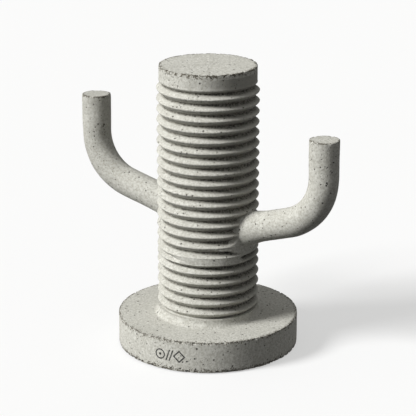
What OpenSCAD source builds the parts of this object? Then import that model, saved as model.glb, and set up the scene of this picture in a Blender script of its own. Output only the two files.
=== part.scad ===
// Cast concrete two-arm post insulator: a ribbed column on a round base, with an
// upturned arm on each side.
// Millimetres, +Z up, origin under the middle of the foot pad, arms along X.

/* [Overall] */
// Height from the floor to the top face
overall_h = 238; // [190:1:300]

/* [Base] */
// Diameter of the round base
base_d = 150; // [120:1:190]
// Level of the base's top face above the floor
base_top = 27; // [25:0.5:36]
// Diameter of the foot pad under the base
pad_d = 144; // [90:1:160]
// Thickness of the foot pad
pad_t = 2; // [1.2:0.1:4]
// Depth of the shallow pocket that holds the pad
pad_pocket = 1; // [0.5:0.1:1]

/* [Column] */
// Diameter of the plain band at the top
band_d = 80; // [77:0.5:83]
// Height of the plain band above the start of the thread
band_h = 7; // [4:0.5:20]
// Diameter over the thread's crests
crest_d = 84; // [80:0.5:96]
// Diameter at the bottom of the thread's groove
root_d = 73.6; // [71:0.2:78]
// Rise of the left-hand thread in one turn
thread_pitch = 8.8; // [7:0.1:12]
// Direction in which the thread starts, seen from above
thread_start = 124; // [0:1:359]
// Diameter of the plain spigot that enters the base
spigot_d = 64; // [50:1:68]
// Depth of the spigot's socket in the base
socket_depth = 8; // [6:0.5:9]

/* [Arms] */
// Diameter of both arms
arm_d = 24.5; // [20:0.5:28]
// How far inside the column each arm ends, measured from the column's axis
arm_inner = 24; // [20:0.5:28]
// Chamfer around each arm's flat tip
tip_chamfer = 0.8; // [0.4:0.1:2]
// Right arm: column axis to the upright's axis
right_reach = 109.5; // [98:0.5:135]
// Right arm: height where its sloping axis meets the column's axis
right_root = 93; // [88:0.5:105]
// Right arm: slope of the lower run in degrees
right_slope = 18; // [8:0.5:25]
// Right arm: radius of the bend
right_bend = 44; // [30:0.5:46]
// Right arm: height of the flat tip
right_tip = 192.5; // [180:0.5:230]
// Left arm: column axis to the upright's axis
left_reach = 114; // [98:0.5:135]
// Left arm: height where its sloping axis meets the column's axis
left_root = 105; // [96:0.5:112]
// Left arm: slope of the lower run in degrees
left_slope = 14; // [8:0.5:25]
// Left arm: radius of the bend
left_bend = 42; // [30:0.5:46]
// Left arm: height of the flat tip
left_tip = 198; // [184:0.5:234]

/* [Mortar] */
// Thickness of the mortar in every joint
bed_t = 1; // [0.6:0.1:2]
// Width and height of the cove around the column's foot
cove = 3.4; // [2:0.1:5]
// Diameter of the mortar collar around the right arm
right_collar_d = 40; // [34:0.5:42]
// Diameter of the mortar collar around the left arm
left_collar_d = 34; // [32:0.5:38]
// Distance from the column's axis to the bottom of each collar's seat
collar_seat = 35; // [33:0.5:36]
// Distance from the column's axis to the outer end of each collar
collar_end = 50; // [46:0.5:54]
// Middle height of the smoothed stretch of groove
fill_z = 81.4; // [74:0.2:84]
// Height of the smoothed stretch of groove
fill_h = 9; // [5:0.5:10]
// Diameter over the smoothed stretch
fill_d = 83; // [80:0.5:84]
// How far the smoothed stretch is keyed in below the groove
fill_key = 0.5; // [0.3:0.1:2]
// Direction where the smoothed stretch begins
fill_from = 204; // [190:1:230]
// Angle that the smoothed stretch covers
fill_sweep = 130; // [60:5:140]

/* [Steel] */
// Diameter of the bar inside each arm
bar_d = 6; // [4:0.5:8]
// How close each bar comes to the column's axis
bar_inner = 11; // [10.5:0.5:18]
// Concrete left over each bar's upper end
bar_cover = 14; // [8:0.5:20]
// Outer diameter of the cast-in ferrule
ferrule_d = 16; // [14:0.5:20]
// Length of the ferrule
ferrule_len = 45; // [38:0.5:50]
// Diameter of the cross pin through the ferrule
pin_d = 5; // [3:0.5:6]
// Length of the cross pin
pin_len = 42; // [30:1:50]
// Distance from the ferrule's top to the pin's axis
pin_drop = 6; // [5:0.5:8]
// Diameter of the base bolt's shank
bolt_d = 10; // [8:0.5:11]
// Length of the bolt's shank
bolt_len = 40; // [32:1:42]
// Width across the flats of the bolt's head
head_af = 16; // [13:0.5:18]
// Height of the bolt's head
head_h = 6.4; // [5:0.1:7]
// Diameter of the plain washer
washer_d = 22; // [20:0.5:25]
// Thickness of the plain washer
washer_t = 2; // [1.5:0.1:2.5]
// Diameter of the spring washer
spring_d = 18; // [16.5:0.5:20]
// Thickness of the spring washer
spring_t = 2.2; // [1.6:0.1:2.5]
// Diameter of the recess for the bolt's head
recess_d = 28; // [26:0.5:34]

/* [Fits] */
// Gap around the bolt where it passes through base and washers
bolt_gap = 0.5; // [0.3:0.1:0.6]
// Gap around the foot pad in its pocket
pad_gap = 0.3; // [0.1:0.1:0.6]

/* [Hidden] */
$fn = 96;
past = 1;                                    // how far a cut runs past the surface
entry = 0.5;                                 // degrees a bend runs into a straight
bend_step = 0.04;                            // how much thinner a bend is
thread_lip = 0.5;                            // how far outside the band the thread starts
foot_lip = 0.2;                              // how far the plain foot stands outside the crests
rib_bulge = 0.5;                             // how far a rib's sides stand outside a plain V
head_gap = 0.4;                              // between the bolt's head and the foot pad

// An arm is listed as [reach, root, slope, bend, tip, collar].
RIGHT = [right_reach, right_root, right_slope, right_bend, right_tip, right_collar_d];
LEFT = [left_reach, left_root, left_slope, left_bend, left_tip, left_collar_d];

base_bottom = pad_t - pad_pocket;
socket_bottom = base_top - socket_depth;
recess_top = pad_t + head_gap + head_h + spring_t + washer_t;
shoulder = base_top + bed_t;                 // underside of the column's shoulder
band_r = band_d / 2;
lip_r = band_r + thread_lip;
crest_r = crest_d / 2;
root_r = root_d / 2;
flank_r = (crest_r + root_r) / 2 + rib_bulge;
collar_r = crest_r + foot_lip;               // plain foot of the column
thread_top = overall_h - band_h;
thread_turns = floor((thread_top - shoulder) / thread_pitch - 1);
thread_bottom = thread_top - (thread_turns + 1) * thread_pitch;
collar_top = thread_bottom + cove;
socket_d = arm_d + 2 * bed_t;
bolt_hole_d = bolt_d + 2 * bolt_gap;
ferrule_top = socket_bottom + ferrule_len;

CONCRETE = [0.66, 0.65, 0.61];
MORTAR = [0.60, 0.59, 0.55];
STEEL = [0.62, 0.63, 0.65];
RUBBER = [0.07, 0.07, 0.07];

// ---- left-hand thread -------------------------------------------------------
// The thread is a grid of points: line k runs down round the column and meets
// line k + 4 after one turn. Every fourth line is a crest. The groove fades in below
// the plain band and fades out at the foot, and a flat ring closes each end.
SIDES = 24;                                  // steps in one turn
STEPS = 4;                                   // lines in one pitch
FADE = 6;                                    // steps over which the groove fades
LINES = thread_turns * STEPS;

function flank(k) = [crest_r, flank_r, root_r, flank_r][k % STEPS];
function first_crest(a) = lip_r + (crest_r - lip_r) * a / SIDES;
function plain_r(k, a) =
    k < STEPS ? first_crest(a) + (crest_r - first_crest(a)) * k / STEPS :
    crest_r + (first_crest(SIDES - a) - crest_r) * (k + STEPS - LINES) / STEPS;
function fade(k, a) =
    k < STEPS ? min(1, a / FADE) : k > LINES - STEPS ? min(1, (SIDES - a) / FADE) : 1;
function line_r(k, a) =
    k == 0 || k == LINES ? plain_r(k, a) :
    fade(k, a) == 1 ? flank(k) : plain_r(k, a) + (flank(k) - plain_r(k, a)) * fade(k, a);
function at(r, a, z) = [r * cos(360 * a / SIDES), r * sin(360 * a / SIDES), z];
function grid(k, a) = at(line_r(k, a), a, thread_top - thread_pitch * (k / STEPS + a / SIDES));

// Point numbers: the grid, the last profile at the end of the turn, then the rings.
tail_first = (LINES + 1) * SIDES;
top_first = tail_first + STEPS;
low_first = top_first + SIDES - 1;
function on_grid(k, a) =
    a < SIDES ? k * SIDES + a :
    k + STEPS <= LINES ? (k + STEPS) * SIDES : tail_first + k + STEPS - LINES - 1;
function on_top(a) = a == 0 ? 0 : top_first + a - 1;
function on_low(a) = a == SIDES ? on_grid(LINES, SIDES) : low_first + a - 1;

module thread() {
    points = [
        for (k = [0:LINES], a = [0:SIDES - 1]) grid(k, a),
        for (k = [LINES - STEPS + 1:LINES]) grid(k, SIDES),
        for (a = [1:SIDES - 1]) at(lip_r, a, thread_top),
        for (a = [1:SIDES - 1]) at(lip_r, a, thread_bottom)
    ];
    flanks = [
        for (k = [0:LINES - 1], a = [0:SIDES - 1])
            each [[on_grid(k, a), on_grid(k, a + 1), on_grid(k + 1, a)],
                  [on_grid(k, a + 1), on_grid(k + 1, a + 1), on_grid(k + 1, a)]]
    ];
    top_wedge = [
        [0, on_top(1), on_grid(0, 1)],
        for (a = [1:SIDES - 2])
            each [[on_top(a), on_top(a + 1), on_grid(0, a + 1)],
                  [on_top(a), on_grid(0, a + 1), on_grid(0, a)]],
        for (k = [0:STEPS - 1]) [on_top(SIDES - 1), on_grid(k, 0), on_grid(k + 1, 0)],
        [on_top(SIDES - 1), on_grid(STEPS, 0), on_grid(0, SIDES - 1)]
    ];
    low_wedge = [
        [on_grid(LINES, 0), on_grid(LINES, 1), on_low(1)],
        for (k = [LINES - STEPS:LINES - 1]) [on_grid(k, SIDES), on_low(1), on_grid(k + 1, SIDES)],
        for (a = [1:SIDES - 2])
            each [[on_grid(LINES, a), on_grid(LINES, a + 1), on_low(a + 1)],
                  [on_grid(LINES, a), on_low(a + 1), on_low(a)]],
        [on_grid(LINES, SIDES - 1), on_low(SIDES), on_low(SIDES - 1)]
    ];
    rings = [
        [for (a = [SIDES - 1:-1:0]) on_top(a)],
        [for (a = [1:SIDES]) on_low(a)]
    ];
    rotate([0, 0, thread_start])
        polyhedron(points, concat(flanks, top_wedge, low_wedge, rings));
}

// ---- shared shapes ----------------------------------------------------------
// Turns the Z axis onto an arm's sloping axis, starting on the column's axis.
module along_arm(arm) {
    translate([0, 0, arm[1]]) rotate([0, 90 - arm[2], 0]) children();
}

// A round rod that follows an arm's middle line from x = inner up to z = top. The
// bend is a hair thinner and enters both straight runs, so that the three join.
module arm_run(arm, d, inner, top) {
    bend = arm[3];
    centre_x = arm[0] - bend;
    tangent_x = centre_x + bend * sin(arm[2]);
    centre_z = arm[1] + tangent_x * tan(arm[2]) + bend * cos(arm[2]);
    run = (tangent_x - inner) / cos(arm[2]);
    along_arm(arm) translate([0, 0, inner / cos(arm[2])]) cylinder(d = d, h = run);
    translate([centre_x, 0, centre_z]) rotate([90, 0, 0]) rotate([0, 0, arm[2] - 90 - entry])
        rotate_extrude(angle = 90 - arm[2] + 2 * entry) translate([bend, 0])
            circle(d = d - bend_step);
    translate([arm[0], 0, top]) mirror([0, 0, 1]) cylinder(d = d, h = top - centre_z);
}

module arm_bar(arm) {
    arm_run(arm, bar_d, bar_inner, arm[4] - bar_cover);
}

module arm_casting(arm) {
    difference() {
        union() {
            arm_run(arm, arm_d, arm_inner, arm[4] - tip_chamfer);
            translate([arm[0], 0, arm[4] - tip_chamfer])
                cylinder(d1 = arm_d, d2 = arm_d - 2 * tip_chamfer, h = tip_chamfer);
        }
        arm_bar(arm);
    }
}

// The sleeve in the arm's socket and the tapered collar outside it, filled in.
module arm_seat(arm) {
    along_arm(arm) {
        translate([0, 0, arm_inner / cos(arm[2])])
            cylinder(d = socket_d, h = collar_end - arm_inner / cos(arm[2]));
        translate([0, 0, collar_seat]) cylinder(d = arm[5], h = crest_r - collar_seat);
        translate([0, 0, crest_r])
            cylinder(d1 = arm[5], d2 = socket_d, h = collar_end - crest_r);
    }
}

// What an arm takes out of the column.
module arm_socket(arm) {
    along_arm(arm) {
        translate([0, 0, arm_inner / cos(arm[2])]) cylinder(d = socket_d, h = crest_r);
        translate([0, 0, collar_seat]) cylinder(d = arm[5], h = crest_r);
    }
    arm_bar(arm);
}

module arm_mortar(arm) {
    difference() {
        arm_seat(arm);
        arm_run(arm, arm_d, arm_inner - past, arm[4]);
    }
}

module on_left() {
    rotate([0, 0, 180]) children();
}

module ring(outer, inner, h) {
    difference() {
        cylinder(d = outer, h = h);
        translate([0, 0, -past]) cylinder(d = inner, h = h + 2 * past);
    }
}

// Part of a ring with a square section, in the smoothed stretch of groove.
module groove_fill(outer) {
    inner_r = root_r - fill_key;
    rotate([0, 0, fill_from]) rotate_extrude(angle = fill_sweep)
        translate([inner_r, fill_z - fill_h / 2]) square([outer / 2 - inner_r, fill_h]);
}

module cross_pin() {
    translate([0, pin_len / 2, ferrule_top - pin_drop]) rotate([90, 0, 0])
        cylinder(d = pin_d, h = pin_len);
}

// ---- concrete ---------------------------------------------------------------
module base_disc() {
    color(CONCRETE) difference() {
        translate([0, 0, base_bottom]) cylinder(d = base_d, h = base_top - base_bottom);
        translate([0, 0, socket_bottom])
            cylinder(d = spigot_d + 2 * bed_t, h = socket_depth + past);
        translate([0, 0, base_bottom - past])
            cylinder(d = pad_d + 2 * pad_gap, h = past + pad_pocket);
        translate([0, 0, base_bottom]) cylinder(d = recess_d, h = recess_top - base_bottom);
        cylinder(d = bolt_hole_d, h = base_top);
    }
}

module column() {
    color(CONCRETE) difference() {
        union() {
            thread();
            translate([0, 0, thread_top - past]) cylinder(r = band_r, h = band_h + past);
            translate([0, 0, shoulder]) cylinder(r = collar_r, h = collar_top - shoulder);
            translate([0, 0, socket_bottom])
                cylinder(d = spigot_d, h = shoulder - socket_bottom + past);
        }
        groove_fill(crest_d + 2 * past);
        arm_socket(RIGHT);
        on_left() arm_socket(LEFT);
        translate([0, 0, socket_bottom - past]) cylinder(d = ferrule_d, h = ferrule_len + past);
        cross_pin();
    }
}

module right_arm() {
    color(CONCRETE) arm_casting(RIGHT);
}

module left_arm() {
    color(CONCRETE) on_left() arm_casting(LEFT);
}

// ---- mortar -----------------------------------------------------------------
module column_foot_mortar() {
    inner = spigot_d / 2;
    color(MORTAR) rotate_extrude() {
        translate([inner, socket_bottom]) square([bed_t, socket_depth]);
        translate([inner, base_top]) square([collar_r - inner, bed_t]);
        translate([collar_r, base_top]) difference() {
            square(cove);
            translate([cove, cove]) circle(r = cove);
        }
    }
}

module groove_mortar() {
    color(MORTAR) groove_fill(fill_d);
}

module right_arm_mortar() {
    color(MORTAR) arm_mortar(RIGHT);
}

module left_arm_mortar() {
    color(MORTAR) on_left() arm_mortar(LEFT);
}

// ---- steel and rubber ---------------------------------------------------------
module right_arm_bar() {
    color(STEEL) arm_bar(RIGHT);
}

module left_arm_bar() {
    color(STEEL) on_left() arm_bar(LEFT);
}

module column_ferrule() {
    color(STEEL) difference() {
        translate([0, 0, socket_bottom]) ring(ferrule_d, bolt_d, ferrule_len);
        cross_pin();
    }
}

module ferrule_pin() {
    color(STEEL) cross_pin();
}

module base_bolt() {
    head_top = recess_top - washer_t - spring_t;
    color(STEEL) union() {
        translate([0, 0, head_top - head_h])
            cylinder(d = head_af / cos(30), h = head_h, $fn = 6);
        translate([0, 0, head_top]) cylinder(d = bolt_d, h = bolt_len);
    }
}

module plain_washer() {
    color(STEEL) translate([0, 0, recess_top - washer_t])
        ring(washer_d, bolt_hole_d, washer_t);
}

module spring_washer() {
    color(STEEL) translate([0, 0, recess_top - washer_t - spring_t])
        ring(spring_d, bolt_hole_d, spring_t);
}

module foot_pad() {
    color(RUBBER) cylinder(d = pad_d, h = pad_t);
}

base_disc();
column();
right_arm();
left_arm();
foot_pad();
column_foot_mortar();
groove_mortar();
right_arm_mortar();
left_arm_mortar();
right_arm_bar();
left_arm_bar();
column_ferrule();
ferrule_pin();
base_bolt();
plain_washer();
spring_washer();
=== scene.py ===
import math

import bpy
import numpy as np
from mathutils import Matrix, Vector, noise


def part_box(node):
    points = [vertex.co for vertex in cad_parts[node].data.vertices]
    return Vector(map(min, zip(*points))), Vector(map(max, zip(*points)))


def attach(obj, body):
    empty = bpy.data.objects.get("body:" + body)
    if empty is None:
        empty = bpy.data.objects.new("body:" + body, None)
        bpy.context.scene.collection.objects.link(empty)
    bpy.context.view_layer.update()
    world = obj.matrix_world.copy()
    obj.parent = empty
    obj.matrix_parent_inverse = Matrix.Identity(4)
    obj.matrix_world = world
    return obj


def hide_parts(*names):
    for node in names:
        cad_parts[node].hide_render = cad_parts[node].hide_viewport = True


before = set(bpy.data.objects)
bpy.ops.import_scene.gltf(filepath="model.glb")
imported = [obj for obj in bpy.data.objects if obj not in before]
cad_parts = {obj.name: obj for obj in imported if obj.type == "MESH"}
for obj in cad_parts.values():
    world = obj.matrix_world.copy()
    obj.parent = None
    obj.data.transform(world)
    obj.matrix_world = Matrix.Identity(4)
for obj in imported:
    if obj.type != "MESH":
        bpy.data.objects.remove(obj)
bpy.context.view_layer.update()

mm = 0.001
print("frame loaded:", len(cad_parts), "nodes")


# small helpers for working by hand

def deselectAll():
    if bpy.context.mode != "OBJECT":
        bpy.ops.object.mode_set(mode="OBJECT")
    bpy.ops.object.select_all(action="DESELECT")


def choose(piece):
    deselectAll()
    piece.select_set(True)
    bpy.context.view_layer.objects.active = piece


def openEdit(piece):
    choose(piece)
    bpy.ops.object.mode_set(mode="EDIT")
    bpy.ops.mesh.select_mode(type="VERT")
    bpy.ops.mesh.select_all(action="DESELECT")


def closeEdit():
    bpy.ops.object.mode_set(mode="OBJECT")


def applyModifier(piece, kind, **settings):
    choose(piece)
    modifier = piece.modifiers.new(kind.title(), kind)
    for key, value in settings.items():
        setattr(modifier, key, value)
    bpy.ops.object.modifier_apply(modifier=modifier.name)


def placeInMesh(piece):
    choose(piece)
    bpy.ops.object.transform_apply(location=True, rotation=True, scale=True)


def getPoints(piece):
    points = np.empty(len(piece.data.vertices) * 3)
    piece.data.vertices.foreach_get("co", points)
    return points.reshape(-1, 3)


def setPoints(piece, points):
    piece.data.vertices.foreach_set("co", points.ravel())
    piece.data.update()


def setPolar(piece, radius, angle, height):
    setPoints(piece, np.stack([radius * np.cos(angle), radius * np.sin(angle), height], axis=1))


def shadeSmooth(piece, angle):
    choose(piece)
    bpy.ops.object.shade_smooth_by_angle(angle=math.radians(angle))


def smoothStep(low, high, x):
    t = np.clip((x - low) / (high - low), 0, 1)
    return t * t * (3 - 2 * t)


# Soft three-dimensional noise, -1 to 1, with features about size metres across.
def softNoise(points, size, seed, octaves=2):
    shift = Vector((seed * 7.3, seed * 3.1, seed * 5.7))
    return np.array([noise.fractal(Vector(p) / size + shift, 0.6, 2.1, octaves) for p in points])


# How deep the chips along a rim go, at points that lie this far from it.
def rimChips(values, points, rim, seed):
    chips = np.clip(softNoise(points, values["chipSize"], seed) * 2.4 - values["chipCut"], 0, 1)
    near = 1 - smoothStep(0.2 * mm, values["chipReach"], rim)
    return near * values["chip"] * (values["chipLeast"] + chips)


# Starts a bare outline: one point at the first place, then one extrude per point.
def drawOutline(name, outline, closed):
    deselectAll()
    bpy.ops.mesh.primitive_plane_add(size=0.001)
    piece = bpy.context.object
    piece.name = piece.data.name = name
    openEdit(piece)
    closeEdit()
    for vertex in piece.data.vertices:
        vertex.select = vertex.index > 0
    bpy.ops.object.mode_set(mode="EDIT")
    bpy.ops.mesh.delete(type="VERT")
    bpy.ops.mesh.select_all(action="SELECT")
    closeEdit()
    piece.data.vertices[0].co = outline[0]
    bpy.ops.object.mode_set(mode="EDIT")
    for here, there in zip(outline, outline[1:]):
        move = Vector(there) - Vector(here)
        bpy.ops.mesh.extrude_region_move(TRANSFORM_OT_translate={"value": move})
    if closed:
        bpy.ops.mesh.select_all(action="SELECT")
        bpy.ops.mesh.edge_face_add()
        bpy.ops.mesh.delete(type="ONLY_FACE")
    closeEdit()
    return piece


# Cuts a stretch between two outline points into equal steps, the first point left out.
def stepped(start, end, count):
    a, b = Vector(start), Vector(end)
    return [tuple(a + (b - a) * i / count) for i in range(1, count + 1)]


# A closed section drawn at the right of the Z axis and spun all the way round it.
def turnPiece(name, outline, steps):
    piece = drawOutline(name, outline, closed=True)
    openEdit(piece)
    bpy.ops.mesh.select_all(action="SELECT")
    bpy.ops.mesh.spin(steps=steps, angle=2 * math.pi, center=(0, 0, 0), axis=(0, 0, 1))
    bpy.ops.mesh.select_all(action="SELECT")
    bpy.ops.mesh.remove_doubles(threshold=0.00001)
    bpy.ops.mesh.normals_make_consistent(inside=False)
    closeEdit()
    return piece


# camera

viewValues = {
    "turn": 34.0,          # degrees from straight in front towards the right arm
    "rise": 17.92,
    "distance": 1.4,
    "aimHeight": 0.1165,
    "lens": 146.7,
}


def addCamera(values):
    turn, rise = math.radians(values["turn"]), math.radians(values["rise"])
    back = Vector((math.sin(turn) * math.cos(rise), -math.cos(turn) * math.cos(rise), math.sin(rise)))
    cameraData = bpy.data.cameras.new("camera")
    cameraData.lens = values["lens"]
    cameraData.sensor_width = 36
    camera = bpy.data.objects.new("camera", cameraData)
    bpy.context.scene.collection.objects.link(camera)
    camera.location = Vector((0, 0, values["aimHeight"])) + back * values["distance"]
    camera.rotation_euler = (-back).to_track_quat("-Z", "Y").to_euler()
    bpy.context.scene.camera = camera


addCamera(viewValues)


# materials

def newMaterial(name):
    material = bpy.data.materials.new(name)
    material.use_nodes = True
    tree = material.node_tree
    return material, tree, tree.nodes["Principled BSDF"]


def addNode(tree, kind, **settings):
    node = tree.nodes.new(kind)
    for key, value in settings.items():
        setattr(node, key, value)
    return node


def plug(tree, value, socket):
    if isinstance(value, bpy.types.NodeSocket):
        tree.links.new(value, socket)
    else:
        socket.default_value = value


def calc(tree, operation, a, b=0.0, c=0.0):
    node = addNode(tree, "ShaderNodeMath", operation=operation)
    plug(tree, a, node.inputs[0])
    plug(tree, b, node.inputs[1])
    plug(tree, c, node.inputs[2])
    return node.outputs[0]


def remap(tree, value, low, high, newLow=0.0, newHigh=1.0, smooth=True):
    node = addNode(tree, "ShaderNodeMapRange")
    node.interpolation_type = "SMOOTHSTEP" if smooth else "LINEAR"
    plug(tree, value, node.inputs["Value"])
    plug(tree, low, node.inputs["From Min"])
    plug(tree, high, node.inputs["From Max"])
    plug(tree, newLow, node.inputs["To Min"])
    plug(tree, newHigh, node.inputs["To Max"])
    return node.outputs["Result"]


# The length of the long side of a square-cornered triangle.
def longSide(tree, a, b):
    return calc(tree, "SQRT", calc(tree, "ADD", calc(tree, "MULTIPLY", a, a), calc(tree, "MULTIPLY", b, b)))


def mixColour(tree, amount, a, b, blend="MIX"):
    node = addNode(tree, "ShaderNodeMix", data_type="RGBA", blend_type=blend)
    plug(tree, amount, node.inputs[0])
    plug(tree, a, node.inputs[6])
    plug(tree, b, node.inputs[7])
    return node.outputs[2]


def noiseNode(tree, place, scale, detail=3.0, roughness=0.55):
    node = addNode(tree, "ShaderNodeTexNoise")
    plug(tree, place, node.inputs["Vector"])
    node.inputs["Scale"].default_value = scale
    node.inputs["Detail"].default_value = detail
    node.inputs["Roughness"].default_value = roughness
    return node.outputs["Fac"]


# Round pinholes: a share of the cells of a cell pattern each hold one, of its own size.
def pinholes(tree, place, scale, share, size):
    cells = addNode(tree, "ShaderNodeTexVoronoi")
    plug(tree, place, cells.inputs["Vector"])
    cells.inputs["Scale"].default_value = scale
    luck = addNode(tree, "ShaderNodeSeparateColor")
    tree.links.new(cells.outputs["Color"], luck.inputs[0])
    chosen = calc(tree, "LESS_THAN", luck.outputs[0], share)
    spread = remap(tree, luck.outputs[1], 0.0, 1.0, size * 0.45, size, smooth=False)
    radius = calc(tree, "MULTIPLY", chosen, spread)
    inner = calc(tree, "MULTIPLY", radius, 0.5)
    return remap(tree, cells.outputs["Distance"], inner, calc(tree, "ADD", radius, 0.0001), 1.0, 0.0)


# How near a point is to a rim, a circle of this radius and height round an upright axis.
def rimNearness(tree, axes, rim):
    x = calc(tree, "SUBTRACT", axes.outputs[0], rim["x"])
    across = calc(tree, "SUBTRACT", longSide(tree, x, axes.outputs[1]), rim["radius"])
    up = calc(tree, "SUBTRACT", axes.outputs[2], rim["height"])
    return remap(tree, longSide(tree, across, up), 0.0, rim["width"], 1.0, 0.0, smooth=False)


# A mark on a round side, drawn with rings, diamonds and leaning strokes.
def inkMask(tree, axes, mark):
    angle = calc(tree, "ARCTAN2", axes.outputs[1], axes.outputs[0])
    turned = calc(tree, "SUBTRACT", angle, math.radians(mark["angle"]))
    across = calc(tree, "MULTIPLY", turned, mark["radius"])
    up = calc(tree, "SUBTRACT", axes.outputs[2], mark["height"])
    mask = None
    for kind, x, z, size, line in mark["shapes"]:
        dx = calc(tree, "SUBTRACT", across, x * mm)
        dz = calc(tree, "SUBTRACT", up, z * mm)
        if kind == "stroke":
            leaning = calc(tree, "SUBTRACT", dx, calc(tree, "MULTIPLY", dz, mark["lean"]))
            gap = calc(tree, "MAXIMUM", calc(tree, "SUBTRACT", calc(tree, "ABSOLUTE", leaning), line * mm),
                       calc(tree, "SUBTRACT", calc(tree, "ABSOLUTE", dz), size * mm))
        else:
            if kind == "ring":
                far = longSide(tree, dx, dz)
            else:
                far = calc(tree, "ADD", calc(tree, "ABSOLUTE", dx), calc(tree, "ABSOLUTE", dz))
            offLine = calc(tree, "ABSOLUTE", calc(tree, "SUBTRACT", far, size * mm))
            gap = calc(tree, "SUBTRACT", offLine, line * mm)
        shape = remap(tree, gap, -0.15 * mm, 0.1 * mm, 1.0, 0.0)
        mask = shape if mask is None else calc(tree, "MAXIMUM", mask, shape)
    return mask


# Small relief that bends the light on the surface.
def addBump(tree, shader, height, strength, distance):
    bump = addNode(tree, "ShaderNodeBump")
    bump.inputs["Strength"].default_value = strength
    bump.inputs["Distance"].default_value = distance
    tree.links.new(height, bump.inputs["Height"])
    tree.links.new(bump.outputs["Normal"], shader.inputs["Normal"])


concreteValues = {
    "pale": (0.60, 0.595, 0.545, 1),
    "plain": (0.525, 0.52, 0.475, 1),
    "dull": (0.44, 0.435, 0.39, 1),
    "sand": (0.34, 0.33, 0.285, 1),
    # painted shade inside the pinholes
    "poreShade": (0.07, 0.065, 0.055, 1),
    "stain": (0.085, 0.075, 0.055, 1),
    # painted shade: the dark colour laid into the bottoms of the grooves
    "grooveShade": (0.055, 0.05, 0.04, 1),
    "ink": (0.012, 0.012, 0.013, 1),
    # each noise: scale, detail, roughness
    "cloudNoise": (26, 4.0, 0.6),
    "patchNoise": (230, 5.0, 0.7),
    "grainNoise": (1000, 2.0, 0.7),
    "sandNoise": (560, 3.0, 0.7),
    "raggedNoise": (900, 2.0, 0.6),
    "clumpNoise": (330, 2.0, 0.55),
    # each tint: where on its noise it starts and ends, and how strong it is there
    "plainTint": (0.3, 0.7, 0.25, 1.0),
    "paleTint": (0.4, 0.72, 0.0, 0.75),
    "dullTint": (0.54, 0.74, 0.0, 0.7),
    "sandTint": (0.38, 0.6, 0.75, 0.0),
    "clumpTint": (0.4, 0.6, 0.42, 0.6),
    "wornTint": (0.87, 0.97),
    "inkTint": (0.3, 0.45, 0.55, 0.95),
    # pinholes: scale, share of the cells that hold one, largest size as a share of a cell
    "largeHoles": (225, 0.95, 0.235),
    "smallHoles": (480, 0.95, 0.24),
    "smallDepth": 0.75,
    # how much of the height map each layer makes up
    "grainHeight": 0.12,
    "sandHeight": 0.25,
    "patchHeight": 0.35,
    "holeDepth": 1.2,
    "wornDepth": 0.5,
    # the side away from the light, where the painted shade in the grooves reaches further out
    "awayX": 0.83,
    "awayY": 0.56,
    "awayFrom": -22 * mm,
    "awayTo": 26 * mm,
}


# Painted shade in the bottom of a groove round an upright axis, from its root outwards, wider on the side
# away from the light.
def grooveShadeMask(tree, axes, groove):
    values = concreteValues
    away = calc(tree, "ADD", calc(tree, "MULTIPLY", axes.outputs[0], values["awayX"]),
                calc(tree, "MULTIPLY", axes.outputs[1], values["awayY"]))
    clear = remap(tree, away, values["awayFrom"], values["awayTo"], groove["clear"], groove["clearAway"])
    out = longSide(tree, axes.outputs[0], axes.outputs[1])
    deep = remap(tree, out, groove["root"], clear, groove["strength"], 0.0)
    return calc(tree, "MULTIPLY", deep, calc(tree, "LESS_THAN", axes.outputs[2], groove["below"]))
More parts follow.
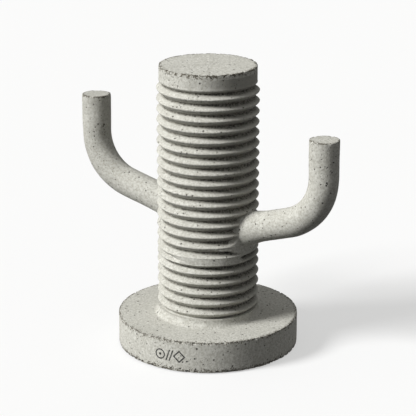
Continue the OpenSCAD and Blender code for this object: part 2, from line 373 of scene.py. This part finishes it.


# Cast concrete: cloudy, speckled and pinholed, with painted shade in the pinholes, worn dark rims and
# painted shade in the grooves.
def concreteMaterial(name, rims=(), groove=None, mark=None, toneAndShade=1.0, holes=1.0):
    values = concreteValues
    material, tree, shader = newMaterial(name)
    place = addNode(tree, "ShaderNodeTexCoord").outputs["Object"]
    axes = addNode(tree, "ShaderNodeSeparateXYZ")
    tree.links.new(place, axes.inputs[0])
    clouds = noiseNode(tree, place, *values["cloudNoise"])
    patches = noiseNode(tree, place, *values["patchNoise"])
    grains = noiseNode(tree, place, *values["grainNoise"])
    sand = noiseNode(tree, place, *values["sandNoise"])
    ragged = noiseNode(tree, place, *values["raggedNoise"])
    colour = mixColour(tree, remap(tree, clouds, *values["plainTint"]), values["dull"], values["plain"])
    colour = mixColour(tree, remap(tree, patches, *values["paleTint"]), colour, values["pale"])
    colour = mixColour(tree, remap(tree, grains, *values["dullTint"]), colour, values["dull"])
    # painted shade: the grooves darkened from the root out, further on the side away from the light
    if groove:
        colour = mixColour(tree, grooveShadeMask(tree, axes, groove), colour, values["grooveShade"])
    colour = mixColour(tree, remap(tree, sand, *values["sandTint"]), colour, values["sand"])
    largeScale, largeShare, largeSize = values["largeHoles"]
    smallScale, smallShare, smallSize = values["smallHoles"]
    large = pinholes(tree, place, largeScale, largeShare * holes, largeSize)
    small = pinholes(tree, place, smallScale, smallShare * holes, smallSize)
    holesMask = calc(tree, "MAXIMUM", large, calc(tree, "MULTIPLY", small, values["smallDepth"]))
    height = calc(tree, "ADD", calc(tree, "MULTIPLY", grains, values["grainHeight"]),
                  calc(tree, "MULTIPLY", sand, values["sandHeight"]))
    height = calc(tree, "ADD", height, calc(tree, "MULTIPLY", patches, values["patchHeight"]))
    height = calc(tree, "SUBTRACT", height, calc(tree, "MULTIPLY", holesMask, values["holeDepth"]))
    clumps = remap(tree, noiseNode(tree, place, *values["clumpNoise"]), *values["clumpTint"])
    for rim in rims:
        worn = calc(tree, "ADD", calc(tree, "MULTIPLY", rimNearness(tree, axes, rim), clumps), ragged)
        worn = remap(tree, worn, *values["wornTint"])
        colour = mixColour(tree, calc(tree, "MULTIPLY", worn, rim["strength"]), colour, values["stain"])
        height = calc(tree, "SUBTRACT", height, calc(tree, "MULTIPLY", worn, values["wornDepth"]))
    if mark:
        uneven = remap(tree, ragged, *values["inkTint"])
        inked = calc(tree, "MULTIPLY", inkMask(tree, axes, mark), uneven)
        colour = mixColour(tree, inked, colour, values["ink"])
    # painted shade: the pinholes' insides coloured near black, as the shade in the pits
    colour = mixColour(tree, holesMask, colour, values["poreShade"])
    # darkens the whole colour by a share; on the arms this is painted shade, the left arm darkest
    colour = mixColour(tree, 1.0, colour, (toneAndShade, toneAndShade, toneAndShade, 1), "MULTIPLY")
    tree.links.new(colour, shader.inputs["Base Color"])
    tree.links.new(remap(tree, patches, 0.3, 0.7, 0.82, 0.95), shader.inputs["Roughness"])
    shader.inputs["Specular IOR Level"].default_value = 0.25
    addBump(tree, shader, height, strength=0.7, distance=0.6 * mm)
    return material


def steelMaterial(name, colour, dark, rough, scale):
    material, tree, shader = newMaterial(name)
    place = addNode(tree, "ShaderNodeTexCoord").outputs["Object"]
    clouds = noiseNode(tree, place, scale, 5.0, 0.6)
    worn = mixColour(tree, remap(tree, clouds, 0.4, 0.65), dark, colour)
    tree.links.new(worn, shader.inputs["Base Color"])
    tree.links.new(remap(tree, clouds, 0.3, 0.7, rough + 0.15, rough), shader.inputs["Roughness"])
    shader.inputs["Metallic"].default_value = 0.9
    addBump(tree, shader, noiseNode(tree, place, scale * 6, 2.0), strength=0.3, distance=0.2 * mm)
    return material


def rubberMaterial(name):
    material, tree, shader = newMaterial(name)
    place = addNode(tree, "ShaderNodeTexCoord").outputs["Object"]
    dust = noiseNode(tree, place, 220, 4.0)
    black, dusty = (0.012, 0.012, 0.012, 1), (0.045, 0.043, 0.04, 1)
    colour = mixColour(tree, remap(tree, dust, 0.5, 0.75), black, dusty)
    tree.links.new(colour, shader.inputs["Base Color"])
    tree.links.new(remap(tree, dust, 0.3, 0.7, 0.7, 0.9), shader.inputs["Roughness"])
    addBump(tree, shader, dust, strength=0.4, distance=0.3 * mm)
    return material


# places, from the frame

baseLow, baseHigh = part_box("base_disc")
columnLow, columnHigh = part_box("column")
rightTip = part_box("right_arm")[1][2]
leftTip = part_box("left_arm")[1][2]
baseRadius = baseHigh[0]
baseTop = baseHigh[2]
columnTop = columnHigh[2]


# column

columnValues = {
    "pitch": 8.8 * mm,
    "crest": 42.0 * mm,
    "root": 36.8 * mm,
    "band": 40.0 * mm,
    "bandHeight": 7.0 * mm,
    "start": 124.0,              # degrees, where the first groove begins
    "unevenness": 0.127,         # turns; the groove drops slowly across the front, quickly behind
    "front": 304.0,
    "turns": 25,
    "turnSteps": 240,
    "profileSteps": 14,
    "crestPlace": 0.42,          # how far down each rib its crest is
    "crestBend": 0.16,           # how rounded the crest is
    "fillHeight": 81.4 * mm,     # middle of the smoothed stretch
    "lowerRise": 4.4 * mm,       # how far the lower turns sit above a regular thread
    "riseBelow": 5.0 * mm,       # the rise comes in over this stretch of the column
    "riseAbove": 6.0 * mm,
    "runOutFrom": -0.5,          # turns; the first groove deepens between these
    "runOutTo": -0.15,
    "footTop": 33.0 * mm,
    "footRadius": 41.3 * mm,
    "spigot": 32.0 * mm,
    "wobble": 0.16 * mm,
    "chip": 0.9 * mm,            # depth of the deepest chips along the top rim
    "chipSize": 2.6 * mm,
    "chipCut": 0.25,             # the higher, the fewer chips
    "chipReach": 1.8 * mm,       # how far from the rim they go
    "chipLeast": 0.12,           # wear between the chips, as a share of their depth
    "rimWidth": 6.5 * mm,        # how far from the top rim the stains reach
    "rimStrength": 0.95,
    "grooveShadeFrom": 0.3 * mm,       # how far out of the groove's root the painted shade reaches, from full to none
    "grooveShadeTo": 1.9 * mm,
    "grooveShadeToAway": 6.4 * mm,     # on the side away from the light
    "grooveShadeStrength": 0.95,
    "grooveShadeBelow": 4.0 * mm,      # no painted shade nearer to the top than this
    "bandLifts": (1.4, 1.4, 1.2, 1.0, 0.8, 0.5, 0.4, 0.3),      # mm, adding up to the band's height
    "topRings": (39.7, 39.3, 38.8, 38.2, 37.4, 36.4, 34.6, 32, 28, 22, 15, 8, 3),       # mm
}


# How far round and down the thread a point is, in turns of the groove.
def threadPhase(values, angle, height):
    threadTop = columnTop - values["bandHeight"]
    lower = 1 - smoothStep(values["fillHeight"] - values["riseBelow"],
                           values["fillHeight"] + values["riseAbove"], height)
    plainHeight = height - values["lowerRise"] * lower
    turned = ((angle - math.radians(values["start"])) % (2 * math.pi)) / (2 * math.pi)
    turned -= values["unevenness"] * np.sin(angle - math.radians(values["front"]))
    return (threadTop - plainHeight) / values["pitch"] - turned - 0.5


def columnRadius(values, angle, height):
    threadTop = columnTop - values["bandHeight"]
    phase = threadPhase(values, angle, height)
    down = phase % 1.0                                   # 0 in one groove, 1 in the next below it
    peak = values["crestPlace"]
    slope = np.where(down < peak, (peak - down) / peak, (down - peak) / (1 - peak))
    bend = values["crestBend"]
    fall = (np.sqrt(slope ** 2 + bend ** 2) - bend) / (math.sqrt(1 + bend ** 2) - bend)
    ribs = values["crest"] - (values["crest"] - values["root"]) * fall
    started = smoothStep(values["runOutFrom"], values["runOutTo"], phase)
    radius = values["band"] + (ribs - values["band"]) * started
    radius = np.where(height > threadTop, values["band"], radius)
    foot = 1 - smoothStep(values["footTop"] - 1 * mm, values["footTop"] + 1.5 * mm, height)
    return radius + (values["footRadius"] - radius) * foot


def buildColumn(values):
    threadTop = columnTop - values["bandHeight"]
    start = math.radians(values["start"])
    topOfProfile = threadTop + values["pitch"]
    rows = values["profileSteps"]
    outline = [(values["band"] * math.cos(start), values["band"] * math.sin(start),
                topOfProfile - values["pitch"] * i / rows) for i in range(rows + 1)]
    piece = drawOutline("threadedColumn", outline, closed=False)
    applyModifier(piece, "SCREW", axis="Z", angle=2 * math.pi, screw_offset=-values["pitch"],
                  iterations=values["turns"], steps=values["turnSteps"],
                  render_steps=values["turnSteps"], use_merge_vertices=False)
    openEdit(piece)
    bpy.ops.mesh.select_all(action="SELECT")
    bpy.ops.mesh.remove_doubles(threshold=0.00001)
    bpy.ops.mesh.select_all(action="SELECT")
    bpy.ops.mesh.bisect(plane_co=(0, 0, threadTop), plane_no=(0, 0, 1), clear_outer=True)
    # the plain band goes straight up from the cut, in short steps
    for lift in values["bandLifts"]:
        bpy.ops.mesh.extrude_region_move(TRANSFORM_OT_translate={"value": (0, 0, lift * mm)})
    # the flat top is drawn in, ring by ring, and closed in the middle
    radius = values["band"]
    for ring in values["topRings"]:
        bpy.ops.mesh.extrude_region_move()
        bpy.ops.transform.resize(value=(ring * mm / radius, ring * mm / radius, 1),
                                 center_override=(0, 0, columnTop))
        radius = ring * mm
    bpy.ops.mesh.edge_face_add()
    # the foot is cut square, drawn in to the spigot and closed
    bpy.ops.mesh.select_all(action="SELECT")
    bpy.ops.mesh.bisect(plane_co=(0, 0, baseTop + 0.5 * mm), plane_no=(0, 0, -1), clear_outer=True)
    bpy.ops.mesh.extrude_region_move()
    share = values["spigot"] / values["band"]
    bpy.ops.transform.resize(value=(share, share, 1), center_override=(0, 0, baseTop))
    bpy.ops.mesh.extrude_region_move(
        TRANSFORM_OT_translate={"value": (0, 0, columnLow[2] - baseTop - 0.5 * mm)})
    bpy.ops.mesh.edge_face_add()
    bpy.ops.mesh.select_all(action="SELECT")
    bpy.ops.mesh.normals_make_consistent(inside=False)
    closeEdit()
    return piece


# The cast surface: ribs, run-out, slight unevenness, and chips along the top rim.
def shapeColumn(piece, values):
    points = getPoints(piece)
    out = np.hypot(points[:, 0], points[:, 1])
    angle = np.arctan2(points[:, 1], points[:, 0])
    height = points[:, 2].copy()
    side = (out > values["band"] - 0.05 * mm) & (height > baseTop + 0.4 * mm)
    radius = np.where(side, columnRadius(values, angle, height), out)
    spots = points[side]
    broad, fine = softNoise(spots, 22 * mm, 1), softNoise(spots, 3.5 * mm, 2, 1)
    radius[side] += values["wobble"] * (broad + 0.5 * fine)
    rim = np.hypot(out - values["band"], height - columnTop)
    near = np.where((rim < 2.4 * mm) & (height > columnTop - 3 * mm))[0]
    depth = rimChips(values, points[near], rim[near], 3)
    radius[near] -= depth
    height[near] -= depth * 0.6
    setPolar(piece, radius, angle, height)


column = buildColumn(columnValues)
shapeColumn(column, columnValues)
shadeSmooth(column, 60)
column.data.materials.append(concreteMaterial(
    "columnConcrete",
    rims=[{"x": 0.0, "radius": columnValues["band"], "height": columnTop,
           "width": columnValues["rimWidth"], "strength": columnValues["rimStrength"]}],
    # the grooves get painted shade, wider on the side away from the light
    groove={"root": columnValues["root"] + columnValues["grooveShadeFrom"],
            "clear": columnValues["root"] + columnValues["grooveShadeTo"],
            "clearAway": columnValues["root"] + columnValues["grooveShadeToAway"],
            "strength": columnValues["grooveShadeStrength"],
            "below": columnTop - columnValues["grooveShadeBelow"]}))
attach(column, "root")
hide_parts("column")
print("column:", len(column.data.polygons), "faces")


# round base

baseValues = {
    "socket": 33.0 * mm,
    "socketBottom": 19.0 * mm,
    "hole": 5.5 * mm,
    "recess": 14.0 * mm,
    "recessTop": 13.0 * mm,
    "pocket": 72.3 * mm,
    "pocketTop": 2.0 * mm,
    "steps": 640,
    "wobble": 0.12 * mm,
    "chip": 1.1 * mm,            # along both rims, as on the column
    "chipSize": 2.8 * mm,
    "chipCut": 0.35,
    "chipReach": 1.9 * mm,
    "chipLeast": 0.14,
    "topWidth": 5.5 * mm,        # how far from the top rim the stains reach
    "topStrength": 0.85,
    "bottomWidth": 8.0 * mm,
    "bottomStrength": 0.9,
    "topRings": (0.3, 0.7, 1.2, 1.8, 2.6, 3.6, 5.0, 7.0, 9.5, 12.5, 16, 20, 24.5, 29.5, 35, 42),    # mm in
}


def buildBase(values):
    low, high, radius = baseLow[2], baseTop, baseRadius
    outline = [(radius, 0, low)]
    outline += [(radius, 0, low + lift * mm) for lift in (0.4, 0.9, 1.5, 2.4)]
    outline += stepped(outline[-1], (radius, 0, high - 2.4 * mm), 14)
    outline += [(radius, 0, high - drop * mm) for drop in (1.5, 0.9, 0.4, 0.0)]
    outline += [(radius - inset * mm, 0, high) for inset in values["topRings"]]
    # the socket, the bolt's hole, its recess and the pad's pocket
    outline += [(values["socket"], 0, values["socketBottom"]), (values["hole"], 0, values["socketBottom"]),
                (values["hole"], 0, values["recessTop"]), (values["recess"], 0, values["recessTop"]),
                (values["recess"], 0, values["pocketTop"]), (values["pocket"], 0, values["pocketTop"]),
                (values["pocket"], 0, low), (radius - 1.2 * mm, 0, low), (radius - 0.5 * mm, 0, low)]
    return turnPiece("roundBase", outline, values["steps"])


# Chips and wear along both rims and a slightly uneven side and top.
def shapeBase(piece, values):
    points = getPoints(piece)
    out = np.hypot(points[:, 0], points[:, 1])
    angle = np.arctan2(points[:, 1], points[:, 0])
    height = points[:, 2].copy()
    radius = out.copy()
    side = out > baseRadius - 0.05 * mm
    radius[side] -= values["wobble"] * (1 + softNoise(points[side], 20 * mm, 11))
    top = (height > baseTop - 0.05 * mm) & (out > 44 * mm)
    height[top] -= values["wobble"] * (1 + softNoise(points[top], 25 * mm, 12))
    for rimHeight, seed, sign in ((baseTop, 13, -1), (baseLow[2], 14, 1)):
        rim = np.hypot(out - baseRadius, height - rimHeight)
        near = np.where((rim < 3 * mm) & (out > baseRadius - 3 * mm))[0]
        depth = rimChips(values, points[near], rim[near], seed)
        radius[near] -= depth
        height[near] += sign * depth * 0.6
    setPolar(piece, radius, angle, height)


inkMark = {
    "angle": -81.0,              # degrees
    "height": 13.6 * mm,
    "radius": baseRadius,
    "lean": 0.35,
    "shapes": [                  # kind, place across and up, size, half the line's width, in mm
        ("ring", -8.0, 0.0, 3.9, 0.6),
        ("ring", -8.0, 0.0, 0.0, 1.2),
        ("stroke", -1.0, 0.0, 4.8, 0.65),
        ("stroke", 1.9, 0.0, 4.8, 0.65),
        ("diamond", 9.0, 0.0, 4.6, 0.85),
        ("ring", 15.5, -3.4, 0.0, 0.8),
        ("ring", 22.0, -0.5, 0.0, 0.75),
    ],
}
base = buildBase(baseValues)
shapeBase(base, baseValues)
shadeSmooth(base, 40)
base.data.materials.append(concreteMaterial(
    "baseConcrete",
    rims=[{"x": 0.0, "radius": baseRadius, "height": baseTop,
           "width": baseValues["topWidth"], "strength": baseValues["topStrength"]},
          {"x": 0.0, "radius": baseRadius, "height": baseLow[2],
           "width": baseValues["bottomWidth"], "strength": baseValues["bottomStrength"]}],
    mark=inkMark))
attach(base, "root")
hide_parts("base_disc")
print("base:", len(base.data.polygons), "faces")


# mortar cove round the column's foot

coveValues = {
    "inner": 39.5 * mm,
    "topRadius": 41.6 * mm,
    "top": 33.5 * mm,
    "outer": 46.3 * mm,
    "steps": 240,
    "arcSteps": 10,
    "bumps": 0.35 * mm,
}


def buildCove(values):
    low = baseTop - 0.8 * mm
    outline = [(values["inner"], 0, low), (values["inner"], 0, values["top"])]
    for i in range(values["arcSteps"] + 1):
        t = i / values["arcSteps"]
        r = values["topRadius"] + (values["outer"] - values["topRadius"]) * t ** 1.8
        z = baseTop + (values["top"] - baseTop) * (1 - t) ** 2.2 - 0.15 * mm
        outline.append((r, 0, z))
    outline.append((values["outer"], 0, low))
    piece = turnPiece("footMortar", outline, values["steps"])
    points = getPoints(piece)
    out = np.hypot(points[:, 0], points[:, 1])
    skin = (out > values["topRadius"] - 0.1 * mm) & (points[:, 2] > low + 0.2 * mm)
    share = values["bumps"] / (45 * mm)
    points[skin] *= (1 + share * softNoise(points[skin], 12 * mm, 21))[:, None]
    setPoints(piece, points)
    return piece


cove = buildCove(coveValues)
shadeSmooth(cove, 60)
cove.data.materials.append(concreteMaterial("footMortar", toneAndShade=0.93, holes=0.9))
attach(cove, "root")
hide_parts("column_foot_mortar")
print("cove:", len(cove.data.polygons), "faces")


# arms

armValues = {                    # both arms
    "inner": 24.0 * mm,
    "radius": 12.25 * mm,
    "round": 1.0 * mm,
    "sides": 72,
    "runSteps": 40,
    "bendSteps": 48,
    "riseSteps": 26,
    "tipRings": (10.6, 9.6, 8, 5.5, 3),     # mm
    "swell": 0.28 * mm,          # broad unevenness
    "skin": 0.05 * mm,           # fine unevenness
    "flareFrom": 36 * mm,        # the thicker root runs out between these
    "flareTo": 58 * mm,
    "nick": 0.7 * mm,
    "rimWidth": 4.2 * mm,
    "rimStrength": 0.85,
}
# tone darkens each arm's concrete as painted shade, the left arm more than the right
rightValues = {**armValues, "side": 1, "reach": 109.5 * mm, "root": 93.0 * mm, "slope": 18.0,
               "bend": 44.0 * mm, "tip": rightTip, "seed": 31, "fillet": 2.6 * mm, "under": 1.6,
               "flare": 2.4 * mm, "toneAndShade": 0.95}
leftValues = {**armValues, "side": -1, "reach": 114.0 * mm, "root": 105.0 * mm, "slope": 14.0,
              "bend": 42.0 * mm, "tip": leftTip, "seed": 41, "fillet": 2.0 * mm, "under": 0.0,
              "flare": 0.6 * mm, "toneAndShade": 0.9}


# A circle set square to the sloping run, pushed along it, spun up the bend and drawn to the tip.
def buildArm(name, values):
    slope = math.radians(values["slope"])
    centreX = values["reach"] - values["bend"]
    tangentX = centreX + values["bend"] * math.sin(slope)
    centreZ = values["root"] + tangentX * math.tan(slope) + values["bend"] * math.cos(slope)
    deselectAll()
    startZ = values["root"] + values["inner"] * math.tan(slope)
    bpy.ops.mesh.primitive_circle_add(vertices=values["sides"], radius=values["radius"], fill_type="NGON",
                                      location=(values["inner"], 0, startZ),
                                      rotation=(0, math.pi / 2 - slope, 0))
    piece = bpy.context.object
    piece.name = piece.data.name = name
    placeInMesh(piece)
    openEdit(piece)
    bpy.ops.mesh.select_all(action="SELECT")
    run = Vector((tangentX - values["inner"], 0, (tangentX - values["inner"]) * math.tan(slope)))
    for i in range(values["runSteps"]):
        bpy.ops.mesh.extrude_region_move(TRANSFORM_OT_translate={"value": run / values["runSteps"]})
    bpy.ops.mesh.spin(steps=values["bendSteps"], angle=math.pi / 2 - slope,
                      center=(centreX, 0, centreZ), axis=(0, 1, 0))
    lift = (values["tip"] - centreZ - values["round"]) / values["riseSteps"]
    for i in range(values["riseSteps"]):
        bpy.ops.mesh.extrude_region_move(TRANSFORM_OT_translate={"value": (0, 0, lift)})
    # the rounded edge and the flat tip
    height, radius = values["tip"] - values["round"], values["radius"]
    for turn in (22.5, 45, 67.5, 90):
        nextHeight = values["tip"] - values["round"] * (1 - math.sin(math.radians(turn)))
        nextRadius = values["radius"] - values["round"] * (1 - math.cos(math.radians(turn)))
        bpy.ops.mesh.extrude_region_move(TRANSFORM_OT_translate={"value": (0, 0, nextHeight - height)})
        bpy.ops.transform.resize(value=(nextRadius / radius, nextRadius / radius, 1),
                                 center_override=(values["reach"], 0, nextHeight))
        height, radius = nextHeight, nextRadius
    for ring in values["tipRings"]:
        bpy.ops.mesh.extrude_region_move()
        bpy.ops.transform.resize(value=(ring * mm / radius, ring * mm / radius, 1),
                                 center_override=(values["reach"], 0, height))
        radius = ring * mm
    bpy.ops.mesh.select_all(action="SELECT")
    bpy.ops.mesh.normals_make_consistent(inside=False)
    closeEdit()
    return piece


def shapeArm(piece, values):
    points = getPoints(piece)
    normals = np.empty(len(points) * 3)
    piece.data.vertices.foreach_get("normal", normals)
    normals = normals.reshape(-1, 3)
    swell = values["swell"] * softNoise(points, 28 * mm, values["seed"])
    swell += values["skin"] * softNoise(points, 5 * mm, 2, 1)
    # thicker at the root
    swell += values["flare"] * (1 - smoothStep(values["flareFrom"], values["flareTo"], points[:, 0]))
    points += normals * (swell - 0.1 * mm)[:, None]
    # nicks round the tip
    rim = np.hypot(np.hypot(points[:, 0] - values["reach"], points[:, 1]) - values["radius"],
                   points[:, 2] - values["tip"])
    near = np.where(rim < 2.2 * mm)[0]
    nicks = np.clip(softNoise(points[near], 3.5 * mm, values["seed"] + 1) * 2.2 - 0.25, 0, 1)
    depth = (1 - smoothStep(0.4 * mm, 2.0 * mm, rim[near])) * values["nick"] * nicks
    points[near] -= normals[near] * depth[:, None]
    points[:, 0] *= values["side"]
    points[:, 1] *= values["side"]
    setPoints(piece, points)


for name, node, values in (("rightArm", "right_arm", rightValues), ("leftArm", "left_arm", leftValues)):
    arm = buildArm(name, values)
    shapeArm(arm, values)
    shadeSmooth(arm, 50)
    arm.data.materials.append(concreteMaterial(
        name + "Concrete",
        rims=[{"x": values["side"] * values["reach"], "radius": values["radius"] - 0.3 * mm,
               "height": values["tip"], "width": values["rimWidth"], "strength": values["rimStrength"]}],
        toneAndShade=values["toneAndShade"]))
    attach(arm, "root")
    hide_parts(node)
print("arms done")


# mortar collars where the arms enter the column

collarValues = {
    "around": 96,
    "across": 12,                # steps over the fillet's face
    "backSteps": 4,              # and over its buried back
    "inset": 0.6 * mm,           # how far inside the crests the fillet lands
    "overlap": 0.3 * mm,         # how far it starts inside the arm's side
    "backOut": 0.3 * mm,         # what each step of the back goes outwards
    "backIn": 1.0 * mm,          # and into the column
    "bumps": 0.3 * mm,
    "thickness": 1.2 * mm,
}


# A hand-smoothed fillet: a skin from the arm's side out and down onto the column, with a buried back.
# Under the arm it is wider by the share "under".
def buildCollar(name, values):
    shape = collarValues
    slope = math.radians(values["slope"])
    landing = columnValues["crest"] - shape["inset"]
    across, rows = shape["across"], shape["across"] + shape["backSteps"]
    deselectAll()
    bpy.ops.mesh.primitive_grid_add(x_subdivisions=shape["around"], y_subdivisions=rows, size=2)
    piece = bpy.context.object
    piece.name = piece.data.name = name
    points = getPoints(piece)
    turn = (points[:, 0] + 1) * math.pi
    t = (points[:, 1] + 1) / 2 * rows / across
    quarter = np.clip(t, 0, 1) * math.pi / 2
    extra = np.clip(t - 1, 0, 1) * across
    fillet = values["fillet"] * (1 + values["under"] * np.clip(-np.cos(turn), 0, 1))
    grow = values["radius"] - shape["overlap"] + fillet * (1 - np.cos(quarter)) + shape["backOut"] * extra
    sideways = grow * np.sin(turn)
    ahead = fillet * (1 - np.sin(quarter)) - shape["backIn"] * extra
    x = np.sqrt(np.maximum(landing ** 2 - sideways ** 2, 0)) + ahead
    z = values["root"] + x * math.tan(slope) + grow * np.cos(turn) / math.cos(slope)
    points[:, 0] = x * values["side"]
    points[:, 1] = sideways * values["side"]
    points[:, 2] = z
    bumps = softNoise(points, 9 * mm, values["seed"] + 2) * shape["bumps"]
    points[:, 0] += bumps * values["side"]
    setPoints(piece, points)
    openEdit(piece)
    bpy.ops.mesh.select_all(action="SELECT")
    bpy.ops.mesh.remove_doubles(threshold=0.00002)
    bpy.ops.mesh.normals_make_consistent(inside=False)
    closeEdit()
    applyModifier(piece, "SOLIDIFY", thickness=shape["thickness"], offset=-1)
    return piece


for name, node, values in (("rightMortar", "right_arm_mortar", rightValues),
                           ("leftMortar", "left_arm_mortar", leftValues)):
    collar = buildCollar(name, values)
    shadeSmooth(collar, 70)
    collar.data.materials.append(concreteMaterial(name, holes=0.6))
    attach(collar, "root")
    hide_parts(node)
print("collars done")


# smoothed stretch of groove and the smear under the right arm

smearValues = {
    "margin": 0.3,               # turns of the thread that the skin goes past its top and bottom
    "softBottom": 0.12,
    "proud": 0.1 * mm,           # how far it stands out of the ribs
    "sink": 0.8 * mm,            # how far its thin edge is buried
    "sinkTo": 0.15,
    "bumps": 0.16 * mm,
    "thickness": 1.0 * mm,
    "ladder": (60, 125, 1301),   # heights in mm, and how many, for reading the thread's phase
}


# The height at which each point of the thread lies, found by reading its phase off a fine ladder.
def heightAtPhase(angle, phase):
    ladder = np.linspace(*smearValues["ladder"]) * mm
    height = np.empty_like(phase)
    for each in np.unique(angle):
        onThis = angle == each
        phases = threadPhase(columnValues, np.full_like(ladder, each), ladder)
        height[onThis] = np.interp(-phase[onThis], -phases, ladder)
    return height


# Mortar pressed into the thread: a skin that follows the ribs and fills them where it is thick.
def buildSmear(name, smear):
    values = smearValues
    deselectAll()
    bpy.ops.mesh.primitive_grid_add(x_subdivisions=smear["columns"], y_subdivisions=smear["rows"], size=2)
    piece = bpy.context.object
    piece.name = piece.data.name = name
    points = getPoints(piece)
    turn = np.round(smear["from"] + (points[:, 0] + 1) / 2 * (smear["to"] - smear["from"]), 4)
    top = np.interp(turn, smear["turns"], smear["top"])
    bottom = np.interp(turn, smear["turns"], smear["bottom"])
    offset = top - values["margin"] + (1 - points[:, 1]) / 2 * (bottom - top + 2 * values["margin"])
    angle = np.radians(turn)
    height = heightAtPhase(angle, filledGroove + offset)
    ribs = columnRadius(columnValues, angle, height)
    thick = smoothStep(top - smear["soft"], top + smear["soft"], offset)
    thick *= 1 - smoothStep(bottom - values["softBottom"], bottom + values["softBottom"], offset)
    thick *= smoothStep(smear["from"], smear["from"] + smear["ease"], turn)
    thick *= 1 - smoothStep(smear["to"] - smear["easeOut"], smear["to"], turn)
    radius = ribs + (np.maximum(smear["level"], ribs) - ribs) * thick + values["proud"]
    radius -= values["sink"] * (1 - smoothStep(0, values["sinkTo"], thick))
    flat = np.stack([np.cos(angle) * radius, np.sin(angle) * radius, height], axis=1)
    radius += values["bumps"] * softNoise(flat, 9 * mm, smear["seed"]) * thick
    setPolar(piece, radius, angle, height)
    openEdit(piece)
    bpy.ops.mesh.select_all(action="SELECT")
    bpy.ops.mesh.normals_make_consistent(inside=False)
    closeEdit()
    middle = piece.data.polygons[len(piece.data.polygons) // 2]
    if middle.normal.dot(Vector((middle.center.x, middle.center.y, 0))) < 0:
        piece.data.flip_normals()
    applyModifier(piece, "SOLIDIFY", thickness=values["thickness"], offset=-1)
    shadeSmooth(piece, 70)
    piece.data.materials.append(concreteMaterial(name, holes=0.9))
    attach(piece, "root")
    return piece


# the groove nearest the smoothed stretch, seen from the front
front = math.radians(columnValues["front"])
filledGroove = round(float(threadPhase(columnValues, front, columnValues["fillHeight"])))
# from, to, ease and turns are degrees round the column; top, bottom and soft are turns of the thread
bandSmear = {"from": 240.0, "to": 352.0, "ease": 40.0, "easeOut": 14.0, "turns": (240, 352),
             "top": (-0.58, -0.58), "bottom": (0.42, 0.42), "soft": 0.12, "level": 41.9 * mm,
             "columns": 150, "rows": 40, "seed": 51}
patchSmear = {"from": 308.0, "to": 386.0, "ease": 12.0, "easeOut": 12.0, "turns": (308, 328, 345, 360, 386),
              "top": (-1.5, -1.6, -2.7, -3.1, -3.2), "bottom": (-1.3, -1.15, -0.6, -0.6, -1.2),
              "soft": 0.3, "level": 41.8 * mm, "columns": 110, "rows": 80, "seed": 55}
band = buildSmear("smoothedGroove", bandSmear)
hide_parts("groove_mortar")
patch = buildSmear("armPatch", patchSmear)
print("smears done")


# hidden steel and the pad keep their own shapes

barSteel = steelMaterial("millScaleSteel", colour=(0.30, 0.27, 0.25, 1), dark=(0.10, 0.085, 0.075, 1),
                         rough=0.5, scale=160)
zincSteel = steelMaterial("zincSteel", colour=(0.66, 0.67, 0.68, 1), dark=(0.45, 0.46, 0.48, 1),
                          rough=0.3, scale=240)
padRubber = rubberMaterial("padRubber")
plainNodes = {
    "right_arm_bar": barSteel,
    "left_arm_bar": barSteel,
    "column_ferrule": zincSteel,
    "ferrule_pin": zincSteel,
    "base_bolt": zincSteel,
    "plain_washer": zincSteel,
    "spring_washer": zincSteel,
    "foot_pad": padRubber,
}
for node, material in plainNodes.items():
    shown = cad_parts[node]
    shown.data.materials.clear()
    shown.data.materials.append(material)
print("steel and rubber done")


# floor and light

lightValues = {
    "keyAcross": -0.90, "keyAway": -0.38, "keyUp": 0.67,     # towards the key light, seen from the camera
    "keyPower": 4.9, "keySpread": 20.0,
    "fillAbove": 0.44, "fillBelow": 0.055,
    "floorSize": 8.0,
    "floorGlow": 0.51,
}


def addStage(values):
    deselectAll()
    bpy.ops.mesh.primitive_plane_add(size=values["floorSize"])
    floor = bpy.context.object
    floor.name = "floor"
    material, tree, shader = newMaterial("floorPaper")
    shader.inputs["Base Color"].default_value = (0.36, 0.36, 0.36, 1)
    shader.inputs["Emission Color"].default_value = (1.0, 1.0, 0.99, 1)
    shader.inputs["Emission Strength"].default_value = values["floorGlow"]
    shader.inputs["Roughness"].default_value = 0.95
    shader.inputs["Specular IOR Level"].default_value = 0.1
    floor.data.materials.append(material)
    floor.visible_diffuse = False
    turn = math.radians(viewValues["turn"])
    across = Vector((math.cos(turn), math.sin(turn), 0))
    away = Vector((-math.sin(turn), math.cos(turn), 0))
    toKey = across * values["keyAcross"] + away * values["keyAway"] + Vector((0, 0, values["keyUp"]))
    keyData = bpy.data.lights.new("keyLight", "SUN")
    keyData.energy = values["keyPower"]
    keyData.angle = math.radians(values["keySpread"])
    key = bpy.data.objects.new("keyLight", keyData)
    bpy.context.scene.collection.objects.link(key)
    key.location = toKey
    key.rotation_euler = (-toKey).to_track_quat("-Z", "Y").to_euler()
    world = bpy.data.worlds.new("studio")
    world.use_nodes = True
    # soft light from the ceiling, next to none from below
    tree = world.node_tree
    axes = addNode(tree, "ShaderNodeSeparateXYZ")
    tree.links.new(addNode(tree, "ShaderNodeTexCoord").outputs["Generated"], axes.inputs[0])
    tree.links.new(remap(tree, axes.outputs[2], -0.2, 0.85, values["fillBelow"], values["fillAbove"]),
                   tree.nodes["Background"].inputs["Strength"])
    tree.nodes["Background"].inputs["Color"].default_value = (1, 1, 1, 1)
    bpy.context.scene.world = world
    bpy.context.scene.view_settings.view_transform = "Standard"


addStage(lightValues)
print("stage done")

deselectAll()
